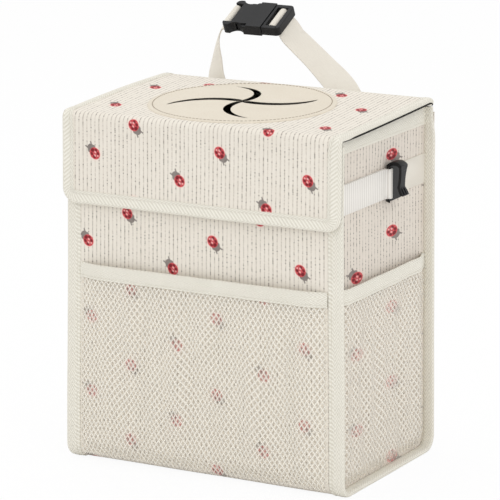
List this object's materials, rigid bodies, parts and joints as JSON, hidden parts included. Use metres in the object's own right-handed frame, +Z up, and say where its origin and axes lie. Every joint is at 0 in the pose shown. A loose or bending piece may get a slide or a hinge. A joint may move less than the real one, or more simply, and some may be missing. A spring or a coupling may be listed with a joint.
{
  "type": "car trash bin",
  "caption": "Soft rectangular car trash bin in printed cloth with a hinged lid, front flap, slit disc, net pockets, side clips and a buckled carry strap",
  "frame": {"origin": "on the floor, at the middle of the bin's foot", "axes": "X to the right seen from the front flap, Y from the front to the back, Z up"},
  "size_m": [0.2688, 0.2315, 0.3626],
  "materials": {
    "printed_cloth": "printed cotton twill, cream",
    "binding_tape": "plain woven tape, cream",
    "pocket_net": "knitted polyester net, cream",
    "elastic_band": "ribbed elastic, cream",
    "webbing": "woven strap, cream",
    "black_plastic": "moulded, satin black",
    "stiff_board": "extruded board, grey",
    "liner_film": "waterproof film, dark",
    "lining_cloth": "plain lining cloth",
    "disc_sheet": "soft coated sheet, beige",
    "closing_strip": "hook and loop strip, cream"
  },
  "bodies": {
    "bin": {"outer_cover": "printed_cloth", "left_side": "printed_cloth", "right_side": "printed_cloth", "left_binding": "binding_tape", "right_binding": "binding_tape", "rim_binding": "binding_tape", "front_board": "stiff_board", "back_board": "stiff_board", "base_board": "stiff_board", "left_board": "stiff_board", "right_board": "stiff_board", "liner": "liner_film", "hinge_strip": "binding_tape", "front_loop_strip": "closing_strip", "front_net": "pocket_net", "front_hem": "binding_tape", "left_net": "pocket_net", "left_hem": "binding_tape", "right_net": "pocket_net", "right_hem": "binding_tape", "left_elastic": "elastic_band", "right_elastic": "elastic_band", "left_back_band": "webbing", "right_back_band": "webbing", "left_strap": "webbing", "right_strap": "webbing", "buckle_socket": "black_plastic"},
    "lid": {"lid_cover": "printed_cloth", "lid_board": "stiff_board", "lid_lining": "lining_cloth", "lid_binding": "binding_tape", "lid_disc": "disc_sheet"},
    "flap": {"flap_cover": "printed_cloth", "flap_board": "stiff_board", "flap_lining": "lining_cloth", "flap_binding": "binding_tape", "flap_hook_strip": "closing_strip"},
    "plug": {"buckle_plug": "black_plastic"},
    "right_hook": {"right_clip": "black_plastic"},
    "left_hook": {"left_clip": "black_plastic"}
  },
  "joints": [
    {"name": "lid_hinge", "type": "hinge", "parent": "bin", "child": "lid", "pos_m": [0, 0.0865, 0.2932], "axis": [-1, 0, 0], "range_deg": [0, 95]},
    {"name": "flap_fold", "type": "hinge", "parent": "lid", "child": "flap", "pos_m": [0, -0.09189, 0.29739], "axis": [-1, 0, 0], "range_deg": [0, 90]},
    {"name": "plug_slide", "type": "slide", "parent": "bin", "child": "plug", "axis": [1, 0, 0], "range_m": [0, 0.03], "deforming": ["right_strap"]},
    {"name": "right_clip_swing", "type": "hinge", "parent": "bin", "child": "right_hook", "pos_m": [0.1206, 0.01, 0.243], "axis": [0, 0, -1], "range_deg": [0, 60]},
    {"name": "left_clip_swing", "type": "hinge", "parent": "bin", "child": "left_hook", "pos_m": [-0.1206, 0.01, 0.243], "axis": [0, 0, 1], "range_deg": [0, 60]}
  ]
}
